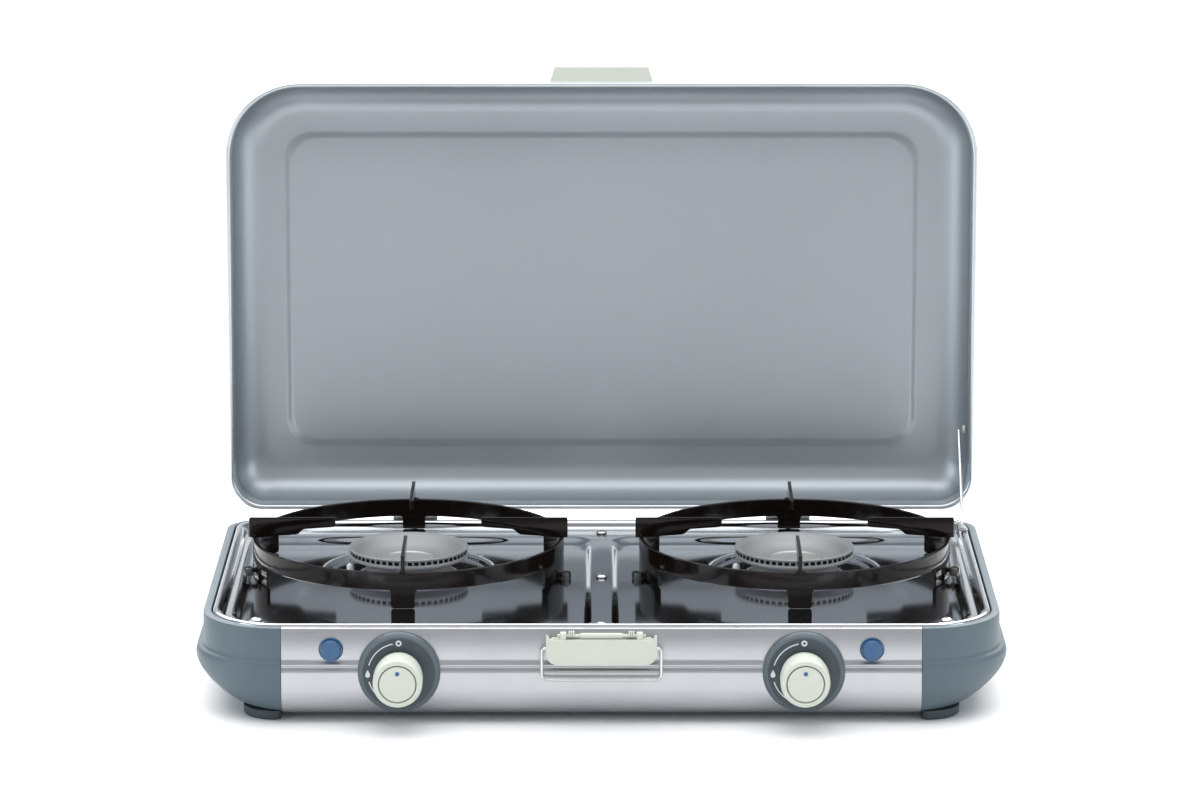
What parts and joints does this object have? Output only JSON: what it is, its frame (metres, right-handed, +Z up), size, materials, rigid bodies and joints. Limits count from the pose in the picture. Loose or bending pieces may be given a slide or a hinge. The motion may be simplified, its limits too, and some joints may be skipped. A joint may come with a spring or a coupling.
{
  "type": "camping stove",
  "caption": "Portable gas camping stove: pressed hob with ring burners under lift-off pan supports, front knobs and push igniters, a hinged wind lid with stay, and a wire-bail latch.",
  "frame": {"origin": "on the table under the middle of the open stove's bounding box", "axes": "+X to the stove's right as seen from the knobs' side, +Y towards the hinge at the rear, +Z up"},
  "size_m": [0.5498, 0.3905, 0.3955],
  "materials": {
    "satin_steel": "satin",
    "bright_steel": "polished",
    "plated_steel": "satin",
    "lid_alloy": "satin",
    "grey_plastic": "matte",
    "dial_plastic": "satin",
    "ivory_plastic": "satin",
    "blue_plastic": "gloss",
    "foot_rubber": "matte",
    "black_enamel": "gloss",
    "cast_aluminium": "satin",
    "brass": "satin",
    "white_ceramic": "gloss",
    "cable": "matte"
  },
  "bodies": {
    "base": {"body_shell": "satin_steel", "hob_plate": "bright_steel", "latch_bracket": "ivory_plastic", "stay_anchor": "bright_steel", "hob_screw_rear": "bright_steel", "hob_screw_middle": "bright_steel", "hob_screw_front": "bright_steel", "hob_screw_corner_left": "bright_steel", "hob_screw_corner_right": "bright_steel", "gas_manifold": "cast_aluminium", "gas_inlet": "brass", "latch_pin": "ivory_plastic", "end_cap_left": "grey_plastic", "foot_front_left": "foot_rubber", "foot_rear_left": "foot_rubber", "burner_head_left": "cast_aluminium", "burner_disc_left": "cast_aluminium", "burner_cup_left": "plated_steel", "mixing_tube_left": "plated_steel", "hinge_base_leaf_left": "plated_steel", "injector_left": "brass", "gas_valve_left": "brass", "dial_left": "dial_plastic", "spark_electrode_left": "white_ceramic", "piezo_igniter_left": "blue_plastic", "ignition_lead_left": "cable", "hinge_pin_left": "bright_steel", "end_cap_right": "grey_plastic", "foot_front_right": "foot_rubber", "foot_rear_right": "foot_rubber", "burner_head_right": "cast_aluminium", "burner_disc_right": "cast_aluminium", "burner_cup_right": "plated_steel", "mixing_tube_right": "plated_steel", "hinge_base_leaf_right": "plated_steel", "injector_right": "brass", "gas_valve_right": "brass", "dial_right": "dial_plastic", "spark_electrode_right": "white_ceramic", "piezo_igniter_right": "blue_plastic", "ignition_lead_right": "cable", "hinge_pin_right": "bright_steel"},
    "lid": {"lid_shell": "lid_alloy", "lid_catch": "ivory_plastic", "stay_bush": "ivory_plastic", "hinge_lid_leaf_left": "plated_steel", "hinge_lid_leaf_right": "plated_steel"},
    "stay": {"lid_stay": "bright_steel"},
    "lever": {"latch_lever": "ivory_plastic"},
    "bail": {"latch_bail": "bright_steel"},
    "knob_turn_left": {"knob_left": "ivory_plastic", "knob_insert_left": "ivory_plastic", "valve_stem_left": "brass"},
    "button_push_left": {"igniter_button_left": "blue_plastic"},
    "support_lift_left": {"pan_support_left": "black_enamel"},
    "knob_turn_right": {"knob_right": "ivory_plastic", "knob_insert_right": "ivory_plastic", "valve_stem_right": "brass"},
    "button_push_right": {"igniter_button_right": "blue_plastic"},
    "support_lift_right": {"pan_support_right": "black_enamel"}
  },
  "joints": [
    {"name": "lid_hinge", "type": "hinge", "parent": "base", "child": "lid", "pos_m": [0, 0.15126, 0.0692], "axis": [-1, 0, 0], "range_deg": [-91.5, 0]},
    {"name": "stay_pivot", "type": "hinge", "parent": "base", "child": "stay", "pos_m": [0.259, 0.11026, 0.0715], "axis": [-1, 0, 0], "range_deg": [-133.6, 0]},
    {"name": "latch_lever_pivot", "type": "hinge", "parent": "base", "child": "lever", "pos_m": [0, -0.16674, 0.0623], "axis": [-1, 0, 0], "range_deg": [0, 100]},
    {"name": "latch_bail_pivot", "type": "hinge", "parent": "lever", "child": "bail", "pos_m": [0, -0.16874, 0.054], "axis": [1, 0, 0], "range_deg": [-178, 0]},
    {"name": "knob_turn_left", "type": "hinge", "parent": "base", "child": "knob_turn_left", "pos_m": [-0.1352, -0.16074, 0.0364], "axis": [0, -1, 0], "range_deg": [0, 165]},
    {"name": "button_push_left", "type": "slide", "parent": "base", "child": "button_push_left", "axis": [0, 1, 0], "range_m": [0, 0.004], "stiffness_N_per_m": 300},
    {"name": "support_lift_left", "type": "slide", "parent": "base", "child": "support_lift_left", "axis": [0, 0, 1], "range_m": [0, 0.06]},
    {"name": "knob_turn_right", "type": "hinge", "parent": "base", "child": "knob_turn_right", "pos_m": [0.1352, -0.16074, 0.0364], "axis": [0, -1, 0], "range_deg": [0, 165]},
    {"name": "button_push_right", "type": "slide", "parent": "base", "child": "button_push_right", "axis": [0, 1, 0], "range_m": [0, 0.004], "stiffness_N_per_m": 300},
    {"name": "support_lift_right", "type": "slide", "parent": "base", "child": "support_lift_right", "axis": [0, 0, 1], "range_m": [0, 0.06]}
  ],
  "couplings": [
    {"joint": "stay_pivot", "follows": "lid_hinge", "ratio": 1.46}
  ]
}
